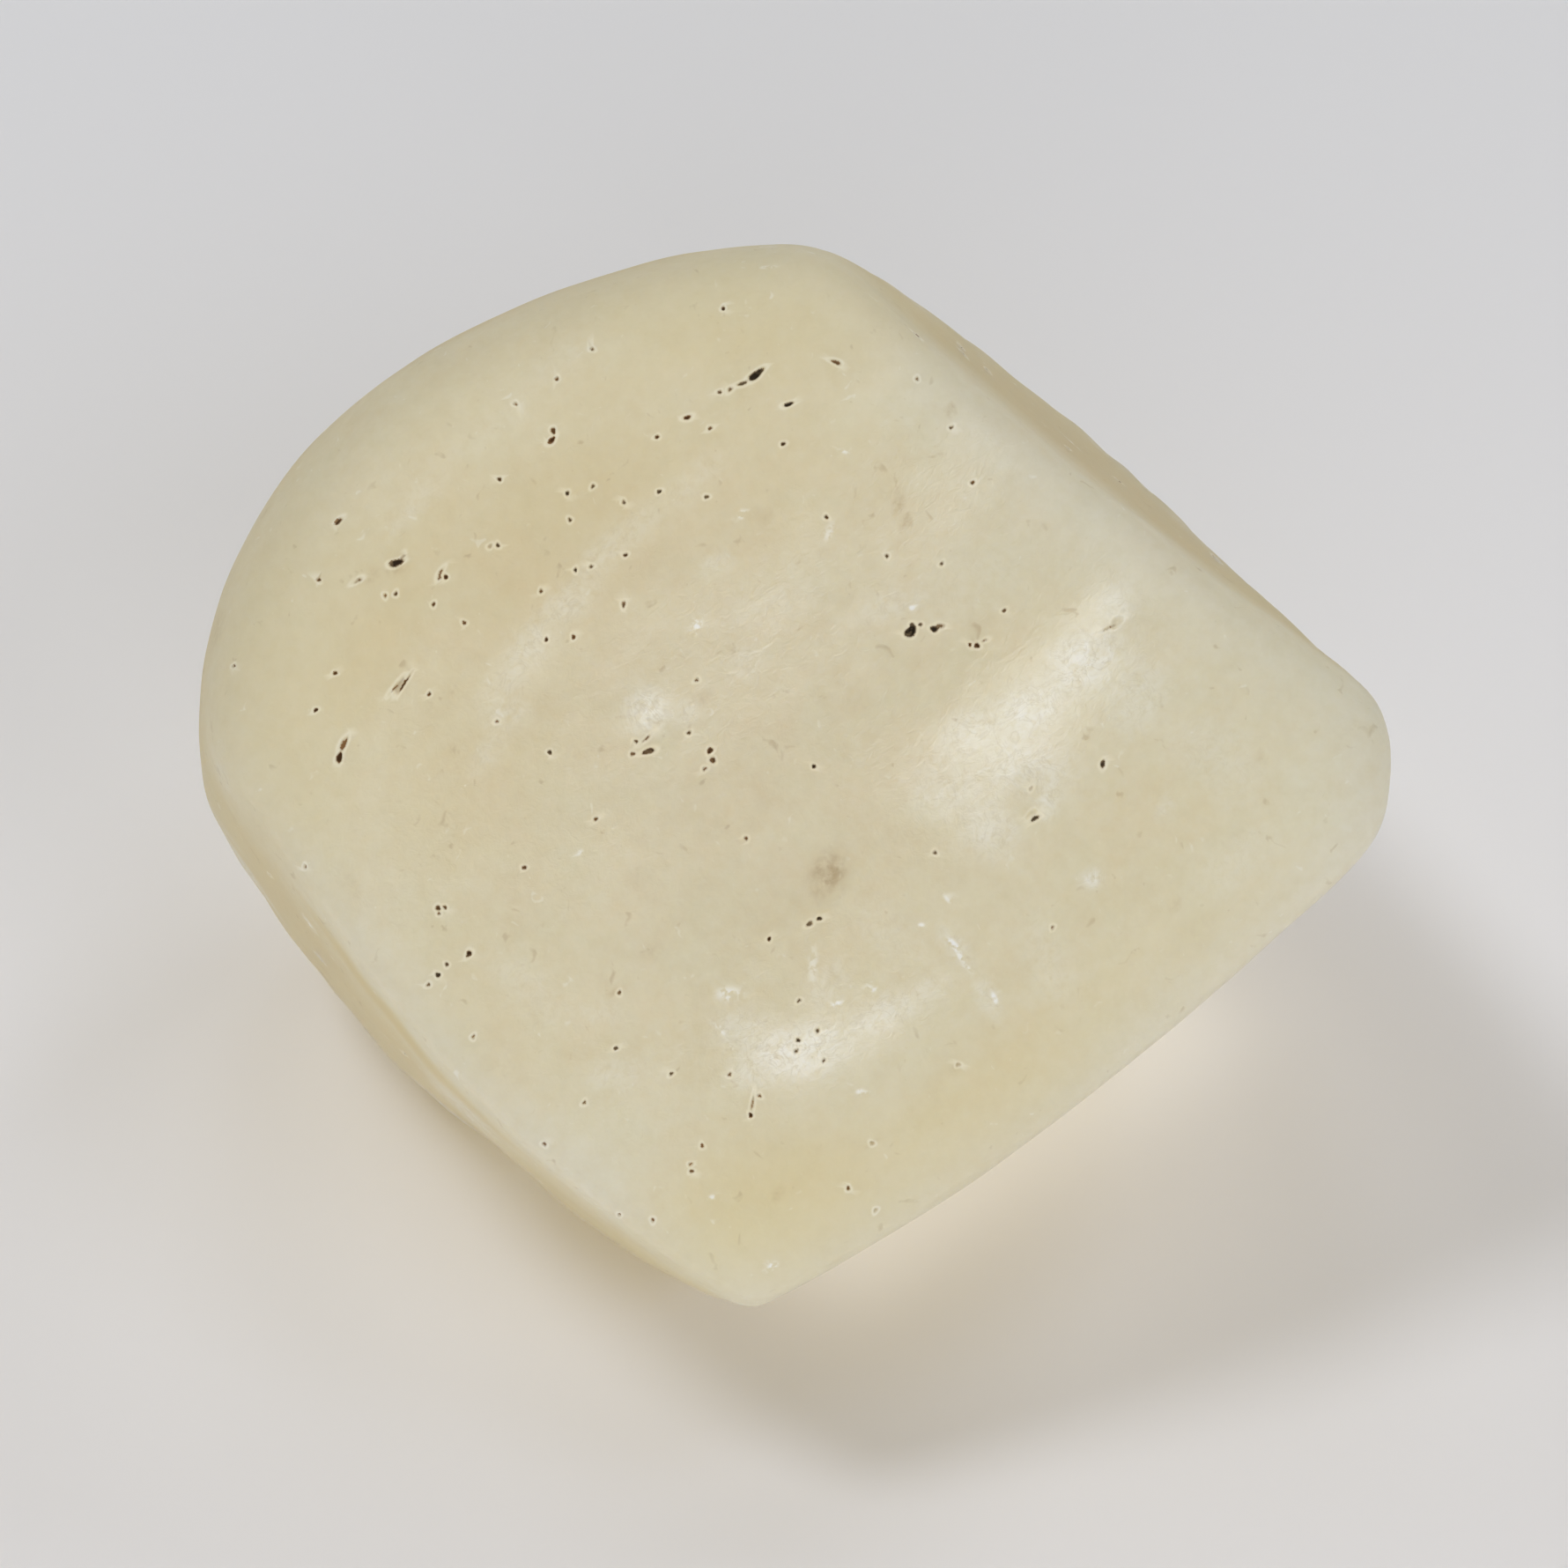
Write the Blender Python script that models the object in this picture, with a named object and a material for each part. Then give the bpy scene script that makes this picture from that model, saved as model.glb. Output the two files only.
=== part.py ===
"""Raw desert glass: one lump of natural yellow glass, about 30 mm long, worn smooth by blown sand.

The stone is a round-edged block that rests on a flat underside. Its broad front face looks up at 50 degrees.
Above and to the left the front rolls over into a wide round crown, to the right it breaks at a ridge into a
narrow hollow slope, and below it is undercut on both sides, so that it ends in a blunt toe.

Every worn face is a shallow dome at its own reach from the heart, a point near the middle of the stone. Two
neighbouring faces run into each other over a rounded edge. Low swells and dents lie on the faces, and the
largest of the burst bubbles are cut into the front as pits. Lengths are in millimetres until the mesh is made.
"""

import math
from collections import namedtuple

import bmesh
import bpy
import numpy as np
from mathutils import Matrix, Vector

MM = 0.001

# Driving dimensions
SEAT_DEPTH = 8.8  # from the heart down to the flat underside
FRONT_PITCH = 50  # how far the front face looks up, in degrees
FRONT_REACH = 7.4  # from the heart to the front face
FRONT_BOW = 160  # radius of the front face's dome
SIGHT = 110  # places on the front face are seen from this far in front of the heart
BLOCK_SIDE = 23  # edge of the square block that the stone is made from, on the front face
BLOCK_DEPTH = 16  # and from front to back
BLOCK_TURN = 45  # degrees that the block is turned on the front face, so that the mesh follows the ridges
CELLS = 26  # mesh cells along each edge of the block
BEYOND = 24  # a distance from the heart that is outside the stone all round
HALVINGS = 40  # steps in which a line's crossing with the surface is found
WORN_OFF = 0.05  # how much of the underside is worn off dead flat, so that the stone lies still

# Heading is turned from +X towards +Y and pitch is raised from level, both in degrees. Edge is the width over
# which the face runs into the ones before it. A bow is the radius of the face's dome, sideways and uphill:
# 0 is flat, and a negative one is hollow.
Face = namedtuple("Face", "heading pitch reach edge bow_side bow_up", defaults=(0, 0))
FACES = {
    "front": Face(-90, FRONT_PITCH, FRONT_REACH, 0, FRONT_BOW, FRONT_BOW),
    "crown_left": Face(162, 23, 15.2, 5.0),
    "crown_mid": Face(139, 35, 15.0, 4.0),
    "crown": Face(112, 43, 13.5, 4.0),
    "crown_top": Face(80, 43, 13.5, 2.6),
    "crown_right": Face(52, 36, 12.5, 1.8),
    "left": Face(-179, 10, 15.6, 3.0),
    "left_low": Face(-158, -9, 14.7, 4.2),
    "right_end": Face(0, 0, 14.45, 1.8),
    "right_under": Face(-38, -34, 9.85, 2.2),
    "right_toe": Face(-50, -39, 10.15, 2.0),
    "left_under": Face(-139.5, -15.5, 12.05, 0.9, 60, 40),
    "toe_left": Face(-131, -22, 11.84, 0.9, 95, 55),
    "toe": Face(-99, -40.5, 13.7, 1.5),
    "right_shoulder": Face(-28, 55, 13.1, 2.2),
    "right_slope": Face(35, 39, 10.98, 1.1, -90),
    "back_left": Face(128, -4, 12.6, 3.5, 50, -80),
    "back": Face(78, 2, 12.2, 3.5, 50, 40),
    "back_right": Face(30, -14, 12.8, 3.0, 40, 40),
    "back_low": Face(112, -42, 11.4, 4.0, 60, 0),
    "base": Face(0, -90, SEAT_DEPTH + WORN_OFF, 2.0),
}

# A swell is a long low rise on a face, or a dent where its height is negative. Side and up place its middle
# from the face's own middle, and turn is the way it runs, in degrees from sideways towards uphill.
Swell = namedtuple("Swell", "face side up width length turn height")
SWELLS = [
    Swell("front", -7.9, 6.8, 0.60, 3.2, 43, 0.04),
    Swell("front", -6.6, 5.4, 1.30, 3.8, 46, -0.09),
    Swell("front", -5.8, 2.5, 0.60, 2.4, 57, 0.04),
    Swell("front", -2.6, 6.2, 0.60, 2.8, 41, 0.02),
    Swell("front", -3.3, 1.25, 0.45, 0.7, 20, 0.08),
    Swell("front", 6.6, 0.2, 2.00, 4.0, 42, 0.48),
    Swell("front", 4.8, 3.1, 1.30, 3.6, 40, -0.14),
    Swell("front", 7.75, 3.7, 0.50, 0.7, 20, 0.09),
    Swell("front", 4.6, -1.9, 1.30, 1.6, 80, 0.10),
    Swell("front", 0.5, -7.3, 1.25, 1.7, 8, 0.26),
    Swell("front", 3.2, -6.3, 0.80, 1.6, 30, 0.10),
    Swell("front", 0.6, -4.0, 2.40, 4.0, 20, -0.20),
    Swell("front", 5.7, -0.6, 0.45, 0.7, 110, -0.14),
    Swell("crown_mid", 1.0, -2.0, 1.8, 3.4, 60, -0.35),
    Swell("crown_mid", -3.5, 1.5, 1.4, 2.6, 20, -0.30),
    Swell("crown_top", 2.0, 1.0, 1.6, 2.4, 75, -0.30),
    Swell("left", 1.5, -2.0, 1.6, 2.8, 80, -0.30),
    Swell("back_left", -1.0, 1.0, 2.2, 3.2, 35, -0.60),
    Swell("back_left", 3.4, -2.6, 1.5, 2.0, 100, -0.40),
    Swell("back", 2.4, 3.0, 2.0, 2.8, 20, -0.55),
    Swell("back", -3.2, -1.2, 2.4, 2.2, 0, -0.60),
    Swell("back_right", 0.5, 2.2, 1.8, 2.6, 120, -0.45),
    Swell("right_under", -2.5, -2.0, 2.2, 3.6, 25, -0.45),
    Swell("right_under", 4.5, -0.5, 1.8, 2.6, 110, -0.30),
    Swell("right_toe", -3.0, 2.0, 1.6, 2.6, 60, -0.25),
    Swell("left_under", 2.0, -3.0, 1.8, 3.4, 15, -0.40),
    Swell("toe_left", -1.5, -2.0, 1.5, 2.4, 80, -0.30),
]

# A pit is where a bubble in the glass is worn open. Side and up are where it is seen in the plane that touches
# the front face, and length runs at turn degrees from sideways towards uphill.
Pit = namedtuple("Pit", "side up length width turn")
PITS = [
    Pit(-0.91, 9.50, 0.74, 0.26, 32),
    Pit(-9.32, 5.11, 0.40, 0.24, 10),
    Pit(-9.23, 2.26, 0.54, 0.22, 47),
    Pit(-10.62, 0.66, 0.56, 0.20, 68),
    Pit(-3.42, 0.66, 0.36, 0.28, 20),
    Pit(-1.93, 0.56, 0.28, 0.26, 90),
    Pit(-5.63, 8.10, 0.42, 0.24, 80),
    Pit(2.77, 3.50, 0.36, 0.34, 0),
    Pit(3.40, 3.56, 0.34, 0.20, 10),
    Pit(7.56, 3.64, 0.50, 0.34, 25),
    Pit(5.67, -0.85, 0.34, 0.26, 30),
    Pit(-0.95, -7.81, 0.42, 0.20, 85),
    Pit(0.52, -3.33, 0.30, 0.24, 40),
    Pit(-8.26, -3.04, 0.30, 0.24, 10),
    Pit(2.92, 10.43, 0.30, 0.20, -10),
    Pit(-0.10, 8.82, 0.26, 0.18, 10),
]
PIT_DEPTH_SHARE = 0.8  # depth over width

# The glass in the light is a pale straw yellow with a frosted skin
GLASS_COLOUR = (0.62, 0.55, 0.40, 1.0)
GLASS_ROUGHNESS = 0.42


def axes_of(face):
    """Outward normal, sideways and uphill directions of a face."""
    heading = math.radians(face.heading)
    pitch = math.radians(face.pitch)
    level = math.cos(pitch)
    out = np.array([math.cos(heading) * level, math.sin(heading) * level, math.sin(pitch)])
    side = np.array([-math.sin(heading), math.cos(heading), 0.0])
    return out, side, np.cross(out, side)


def swelling(swell, side, up):
    """Height that a swell adds at each place on its face: a bell curve, longer one way than the other."""
    turn = math.radians(swell.turn)
    along = (side - swell.side) * math.cos(turn) + (up - swell.up) * math.sin(turn)
    across = (up - swell.up) * math.cos(turn) - (side - swell.side) * math.sin(turn)
    return swell.height * np.exp(-((along / swell.length) ** 2) - (across / swell.width) ** 2)


def height_over(name, points):
    """How far each point is above one worn face: its reach along the normal, less the dome and the swells."""
    face = FACES[name]
    out, side_axis, up_axis = axes_of(face)
    side = points @ side_axis
    up = points @ up_axis
    surface = np.full(len(points), float(face.reach))
    if face.bow_side:
        surface -= side**2 / (2 * face.bow_side)
    if face.bow_up:
        surface -= up**2 / (2 * face.bow_up)
    for swell in SWELLS:
        if swell.face == name:
            surface += swelling(swell, side, up)
    return points @ out - surface


def meet(one, other, edge):
    """The larger of two heights, rounded off where they differ by less than the edge."""
    near = np.maximum(edge - np.abs(one - other), 0) / edge
    return np.maximum(one, other) + near**3 * edge / 6


def outside(points):
    """How far each point is outside the stone: the greatest height over any face, with rounded edges between."""
    height = height_over("front", points)
    for name, face in FACES.items():
        if name != "front":
            height = meet(height, height_over(name, points), face.edge)
    return height


def surface_between(inner, outer):
    """The point where each line from inside the stone to outside it crosses the surface, found by halving."""
    low = np.zeros((len(inner), 1))
    high = np.ones((len(inner), 1))
    for _ in range(HALVINGS):
        middle = (low + high) / 2
        inside = outside(inner + (outer - inner) * middle)[:, None] < 0
        low = np.where(inside, middle, low)
        high = np.where(inside, high, middle)
    return inner + (outer - inner) * (low + high) / 2


def facing_front():
    """The turn that lays sideways, uphill and outward of the front face on X, Y and Z."""
    out, side_axis, up_axis = axes_of(FACES["front"])
    return Matrix((side_axis, up_axis, out)).transposed().to_4x4()


def stone_mesh():
    """A block cut into cells, whose vertices are moved along lines from the heart to the surface of the stone.

    What is left below the seat is pressed flat.
    """
    bm = bmesh.new()
    bmesh.ops.create_cube(bm, size=1)
    bmesh.ops.subdivide_edges(bm, edges=bm.edges[:], cuts=CELLS - 1, use_grid_fill=True)
    size = Matrix.Diagonal((BLOCK_SIDE, BLOCK_SIDE, BLOCK_DEPTH, 1))
    turn = Matrix.Rotation(math.radians(BLOCK_TURN), 4, "Z")
    bmesh.ops.transform(bm, matrix=facing_front() @ turn @ size, verts=bm.verts)
    lines = np.array([vert.co for vert in bm.verts])
    lines /= np.linalg.norm(lines, axis=1)[:, None]
    points = surface_between(np.zeros_like(lines), lines * BEYOND)
    points[:, 2] = np.maximum(points[:, 2], -SEAT_DEPTH)
    for vert, point in zip(bm.verts, points):
        vert.co = point
    bmesh.ops.triangulate(bm, faces=bm.faces[:], quad_method="SHORT_EDGE")
    bmesh.ops.recalc_face_normals(bm, faces=bm.faces[:])
    return bm


def front_place(side, up):
    """The point of the surface that is seen at this place in the plane that touches the front face."""
    out, side_axis, up_axis = axes_of(FACES["front"])
    eye = out * SIGHT
    ahead = side_axis * side + up_axis * up + out * FRONT_REACH - eye
    behind = eye + ahead * SIGHT / (SIGHT - FRONT_REACH)
    return surface_between(behind[None, :], eye[None, :])[0]


def pits_mesh():
    """One flattened ball for each pit, its middle on the surface of the stone."""
    bm = bmesh.new()
    for pit in PITS:
        place = Matrix.Translation(Vector(front_place(pit.side, pit.up)))
        turn = facing_front() @ Matrix.Rotation(math.radians(pit.turn), 4, "Z")
        shape = Matrix.Diagonal((pit.length / 2, pit.width / 2, pit.width * PIT_DEPTH_SHARE, 1))
        bmesh.ops.create_icosphere(bm, subdivisions=2, radius=1, matrix=place @ turn @ shape)
    return bm


def glass_material():
    material = bpy.data.materials.new("pale yellow glass")
    material.use_nodes = True
    shader = material.node_tree.nodes["Principled BSDF"]
    shader.inputs["Base Color"].default_value = GLASS_COLOUR
    shader.inputs["Roughness"].default_value = GLASS_ROUGHNESS
    shader.inputs["Metallic"].default_value = 0
    material.diffuse_color = GLASS_COLOUR
    return material


def seated(bm, seat):
    """Moves the mesh so that the seat is at the origin, and turns millimetres into metres."""
    bmesh.ops.translate(bm, verts=bm.verts, vec=-seat)
    bmesh.ops.scale(bm, verts=bm.verts, vec=(MM, MM, MM))


def new_object(name, bm, collection):
    mesh = bpy.data.meshes.new(name)
    bm.to_mesh(mesh)
    bm.free()
    made = bpy.data.objects.new(name, mesh)
    collection.objects.link(made)
    return made


def new_collection(name):
    collection = bpy.data.collections.new(name)
    bpy.context.scene.collection.children.link(collection)
    return collection


def main():
    for leftover in list(bpy.data.objects):
        bpy.data.objects.remove(leftover, do_unlink=True)

    stone = stone_mesh()
    pits = pits_mesh()
    places = np.array([vert.co for vert in stone.verts])
    middle = (places.min(axis=0) + places.max(axis=0)) / 2
    seat = Vector((middle[0], middle[1], -SEAT_DEPTH))
    seated(stone, seat)
    seated(pits, seat)

    glass = new_object("desert_glass", stone, new_collection("desert glass"))
    glass.data.materials.append(glass_material())
    glass.data.shade_smooth()

    cutter = new_object("pit_cutters", pits, new_collection("cutters"))
    cutter.hide_render = True
    cutter.display_type = "WIRE"

    cut = glass.modifiers.new("pits", "BOOLEAN")
    cut.operation = "DIFFERENCE"
    cut.solver = "EXACT"
    cut.object = cutter


main()
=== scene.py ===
"""The looks of one raw lump of desert glass: a pale yellow, milky stone with a frosted, wind-worn skin.

The stone's surface is worked out here again from the worn faces of its solid, a few of them fitted closer to
the photograph, on a much finer grid. So the ripples left by blown sand and the open bubbles are real shape,
and the rims, veils and stains are colour. The veils carry painted sheen, the pale scars painted glints, and
the sides and hollows painted shade. Lengths are in millimetres until the mesh is made, and colours are shares
of red, green and blue.
"""

import math
from collections import namedtuple

import bpy
import numpy as np
from mathutils import Matrix, Vector


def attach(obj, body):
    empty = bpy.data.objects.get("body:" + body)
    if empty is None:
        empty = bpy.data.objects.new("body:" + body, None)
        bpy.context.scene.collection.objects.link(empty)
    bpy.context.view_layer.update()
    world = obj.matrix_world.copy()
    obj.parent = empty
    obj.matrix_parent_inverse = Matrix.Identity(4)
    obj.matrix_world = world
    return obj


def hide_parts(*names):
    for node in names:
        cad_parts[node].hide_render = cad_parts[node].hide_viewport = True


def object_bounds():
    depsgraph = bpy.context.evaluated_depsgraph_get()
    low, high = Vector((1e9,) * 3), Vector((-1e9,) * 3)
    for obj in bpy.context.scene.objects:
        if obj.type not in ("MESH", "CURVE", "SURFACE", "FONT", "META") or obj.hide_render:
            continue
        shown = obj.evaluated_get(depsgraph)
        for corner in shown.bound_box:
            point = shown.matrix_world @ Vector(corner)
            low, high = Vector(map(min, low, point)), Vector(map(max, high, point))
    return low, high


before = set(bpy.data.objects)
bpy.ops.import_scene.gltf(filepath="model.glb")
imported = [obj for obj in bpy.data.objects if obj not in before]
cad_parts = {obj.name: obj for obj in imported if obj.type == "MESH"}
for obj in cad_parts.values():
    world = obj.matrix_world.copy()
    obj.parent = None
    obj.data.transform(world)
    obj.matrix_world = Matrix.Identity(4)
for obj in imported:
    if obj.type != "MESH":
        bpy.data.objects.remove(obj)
solid_low, solid_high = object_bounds()

MM = 0.001

# Driving dimensions of the stone
SEAT_DEPTH = 8.8  # from the heart down to the flat underside
WORN_OFF = 0.05  # how much of the underside is worn off dead flat
FRONT_PITCH = 50  # how far the front face looks up, in degrees
FRONT_REACH = 7.4  # from the heart to the front face
FRONT_BOW = 160  # radius of the front face's dome
BLOCK_SIDE = 23  # edge of the square block that the grid is drawn on, on the front face
BLOCK_DEPTH = 16  # and from front to back
BLOCK_TURN = 45  # degrees that the block is turned on the front face, so that the grid follows the ridges
SIDE_CELLS = 104  # grid cells along the block's side
DEPTH_CELLS = 56  # and from front to back
SPLIT = 7  # a cell at a mark is split into this many each way
NEAREST, FARTHEST = 5.0, 22.0  # the surface is between these distances from the heart
HALVINGS = 24  # steps in which a line's crossing with the surface is found
SLOPE_STEP = 0.02  # how far to each side the slope of the surface is measured

# The camera looks squarely at the front face
PICTURE = 1780  # the photograph's width and height in pixels
HEART_X, HEART_Y = 900, 885  # where the heart of the stone is in the photograph
PIXELS_PER_MM = 45.0  # at the heart's distance
CAMERA_DISTANCE = 110.0
SENSOR = 36.0
CLIP_START = 10  # the camera draws nothing nearer to it than this
SEEN_FARTHEST, SEEN_NEAREST = 20, 1  # what the camera sees is between these distances in front of the heart

# Heading is turned from +X towards +Y and pitch is raised from level, both in degrees. Edge is the width over
# which the face runs into the ones before it. A bow is the radius of the face's dome, sideways and uphill:
# 0 is flat, and a negative one is hollow.
Face = namedtuple("Face", "heading pitch reach edge bow_side bow_up", defaults=(0, 0))
FACES = {
    "front": Face(-90, FRONT_PITCH, FRONT_REACH, 0, FRONT_BOW, FRONT_BOW),
    "crown_left": Face(162, 23, 15.2, 5.0),
    "crown_mid": Face(139, 35, 15.0, 4.0),
    "crown": Face(112, 43, 13.5, 4.0),
    "crown_top": Face(80, 43, 13.5, 2.6),
    "crown_right": Face(52, 36, 12.5, 1.8),
    "left": Face(-179, 10, 15.6, 3.0),
    "left_low": Face(-158, -9, 14.7, 5.2),
    "right_end": Face(0, 0, 14.45, 1.8),
    "right_under": Face(-38, -34, 9.85, 2.2),
    "right_toe": Face(-50, -39, 10.15, 2.0),
    "left_under": Face(-139.5, -15.5, 12.05, 0.4, 60, 40),
    "toe_left": Face(-131, -22, 11.94, 0.6, 95, 55),
    "toe": Face(-75, -40.5, 13.35, 3.6),
    "right_shoulder": Face(-28, 55, 13.1, 2.2),
    "right_slope": Face(35, 39, 10.98, 1.1, -90),
    "back_left": Face(128, -4, 12.6, 3.5, 50, -80),
    "back": Face(78, 2, 12.2, 3.5, 50, 40),
    "back_right": Face(30, -14, 12.8, 3.0, 40, 40),
    "back_low": Face(112, -42, 11.4, 4.0, 60, 0),
    "base": Face(0, -90, SEAT_DEPTH + WORN_OFF, 2.0),
}

# A swell is a long low rise on a face, or a dent where its height is negative. Side and up place its middle
# from the face's own middle, and turn is the way it runs, in degrees from sideways towards uphill.
Swell = namedtuple("Swell", "face side up width length turn height")
SWELLS = [
    Swell("front", -7.9, 6.8, 0.60, 3.2, 43, 0.04),
    Swell("front", -6.6, 5.4, 1.30, 3.8, 46, -0.09),
    Swell("front", -5.8, 2.5, 0.60, 2.4, 57, 0.04),
    Swell("front", -2.6, 6.2, 0.60, 2.8, 41, 0.02),
    Swell("front", -3.3, 1.25, 0.45, 0.7, 20, 0.08),
    Swell("front", 6.6, 0.2, 2.00, 4.0, 42, 0.48),
    Swell("front", 4.8, 3.1, 1.30, 3.6, 40, -0.14),
    Swell("front", 7.75, 3.7, 0.50, 0.7, 20, 0.09),
    Swell("front", 4.6, -1.9, 1.30, 1.6, 80, 0.10),
    Swell("front", 0.5, -7.3, 1.25, 1.7, 8, 0.26),
    Swell("front", 3.2, -6.3, 0.80, 1.6, 30, 0.10),
    Swell("front", 0.6, -4.0, 2.40, 4.0, 20, -0.20),
    Swell("front", 5.7, -0.6, 0.45, 0.7, 110, -0.14),
    Swell("crown_mid", 1.0, -2.0, 1.8, 3.4, 60, -0.35),
    Swell("crown_mid", -3.5, 1.5, 1.4, 2.6, 20, -0.30),
    Swell("crown_top", 2.0, 1.0, 1.6, 2.4, 75, -0.30),
    Swell("left", 1.5, -2.0, 1.6, 2.8, 80, -0.30),
    Swell("back_left", -1.0, 1.0, 2.2, 3.2, 35, -0.60),
    Swell("back_left", 3.4, -2.6, 1.5, 2.0, 100, -0.40),
    Swell("back", 2.4, 3.0, 2.0, 2.8, 20, -0.55),
    Swell("back", -3.2, -1.2, 2.4, 2.2, 0, -0.60),
    Swell("back_right", 0.5, 2.2, 1.8, 2.6, 120, -0.45),
    Swell("right_under", -2.5, -2.0, 2.2, 3.6, 25, -0.45),
    Swell("right_under", 4.5, -0.5, 1.8, 2.6, 110, -0.30),
    Swell("right_toe", -3.0, 2.0, 1.6, 2.6, 60, -0.25),
    Swell("left_under", 2.0, -3.0, 1.8, 3.4, 15, -0.40),
    Swell("toe_left", -1.5, -2.0, 1.5, 2.4, 80, -0.30),
]

# A mark lies on the surface where the photograph shows it at x and y, and amount is how strong it is.
Mark = namedtuple("Mark", "x y length width turn amount")

# Painted shade, with clearer glass: darker, yellower and duller along the crown and the left side, in the
# hollows and near the lower edges
CLEAR_GLASS_AND_SHADE = [
    Mark(285, 800, 15.0, 6.4, 90, 0.40),
    Mark(540, 440, 9.0, 3.6, 42, 0.34),
    Mark(860, 345, 13.0, 4.6, 2, 0.46),
    Mark(640, 600, 10.0, 5.4, 44, 0.36),
    Mark(520, 840, 8.0, 6.0, 60, 0.22),
    Mark(820, 520, 9.0, 5.0, 20, 0.26),
    Mark(1110, 400, 6.0, 2.4, -42, 0.30),
    Mark(365, 690, 9.0, 2.8, 64, 0.36),
    Mark(425, 700, 12.0, 3.6, 62, 0.38),
    Mark(530, 520, 8.0, 3.4, 48, 0.30),
    Mark(690, 415, 9.0, 3.4, 22, 0.34),
    Mark(850, 395, 9.0, 3.6, 0, 0.34),
    Mark(318, 1000, 7.0, 2.6, -55, 0.50),
    Mark(520, 1170, 8.0, 5.0, -52, 0.20),
    Mark(455, 1170, 10.0, 1.5, -52, 0.85),
    Mark(640, 1365, 10.0, 1.3, -43, 0.85),
    Mark(880, 1400, 9.0, 4.6, 20, 0.50),
    Mark(1090, 1300, 13.0, 3.2, 40, 0.42),
    Mark(1370, 1080, 8.0, 3.0, 42, 0.20),
]

# Open bubbles that the photograph shows. X and y are the pixel of the photograph where one is seen. Length
# and width are real, in millimetres. Length runs at turn degrees from sideways towards uphill, and soot is
# how dark the dirt in it is.
Pit = namedtuple("Pit", "x y length width turn soot", defaults=(1.0,))
PITS = [
    Pit(858, 425, 0.44, 0.17, 32),
    Pit(843, 435, 0.26, 0.09, 25, 0.7),
    Pit(829, 442, 0.16, 0.08, 30, 0.5),
    Pit(449, 639, 0.32, 0.17, 10),
    Pit(457, 632, 0.14, 0.08, 60, 0.6),
    Pit(459, 776, 0.46, 0.07, 58, 0.8),
    Pit(453, 778, 0.44, 0.16, 56, 0.3),
    Pit(448, 781, 0.30, 0.05, 50, 0.5),
    Pit(385, 860, 0.26, 0.15, 66),
    Pit(390, 845, 0.40, 0.12, 68, 0.55),
    Pit(736, 853, 0.32, 0.12, 25),
    Pit(718, 856, 0.11, 0.11, 0, 0.7),
    Pit(733, 839, 0.26, 0.06, 38, 0.6),
    Pit(722, 842, 0.10, 0.09, 0, 0.7),
    Pit(806, 852, 0.16, 0.13, 85),
    Pit(809, 863, 0.16, 0.13, 60, 0.8),
    Pit(800, 873, 0.12, 0.09, 60, 0.6),
    Pit(628, 489, 0.16, 0.12, 80, 0.8),
    Pit(626, 500, 0.22, 0.11, 35),
    Pit(1034, 717, 0.30, 0.26, 60),
    Pit(1035, 709, 0.12, 0.10, 60, 0.7),
    Pit(1045, 709, 0.10, 0.10, 0, 0.8),
    Pit(1061, 714, 0.20, 0.15, 22),
    Pit(1067, 711, 0.22, 0.13, 22, 0.5),
    Pit(1260, 712, 0.34, 0.06, 30, 0.45),
    Pit(1268, 706, 0.34, 0.20, 30, 0.12),
    Pit(1175, 929, 0.27, 0.08, 28, 0.85),
    Pit(1171, 924, 0.26, 0.15, 28, 0.1),
    Pit(854, 1253, 0.32, 0.07, 78, 0.45),
    Pit(852, 1266, 0.11, 0.11, 0),
    Pit(930, 1043, 0.13, 0.10, 35, 0.9),
    Pit(919, 1049, 0.17, 0.12, 20, 0.6),
    Pit(497, 1031, 0.14, 0.12, 20, 0.8),
    Pit(505, 1030, 0.10, 0.10, 0, 0.8),
    Pit(498, 1037, 0.09, 0.08, 0, 0.6),
    Pit(532, 1083, 0.19, 0.10, 66),
    Pit(497, 1107, 0.13, 0.11, 60),
    Pit(895, 459, 0.22, 0.10, 20),
    Pit(1041, 381, 0.22, 0.10, -10),
    Pit(949, 411, 0.24, 0.10, -15, 0.7),
    Pit(384, 592, 0.22, 0.10, 40),
    Pit(1252, 867, 0.20, 0.11, 62),
    Pit(780, 474, 0.20, 0.08, 10),
    Pit(406, 659, 0.20, 0.08, 25, 0.6),
    Pit(500, 650, 0.22, 0.06, 55, 0.6),
    Pit(506, 655, 0.11, 0.10, 0),
    Pit(1109, 733, 0.16, 0.11, 25),
    Pit(1101, 732, 0.09, 0.08, 0, 0.9),
    Pit(1118, 727, 0.12, 0.06, 30, 0.5),
    Pit(708, 686, 0.16, 0.09, 70, 0.7),
    Pit(904, 1193, 0.12, 0.08, 60, 0.7),
]

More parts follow.
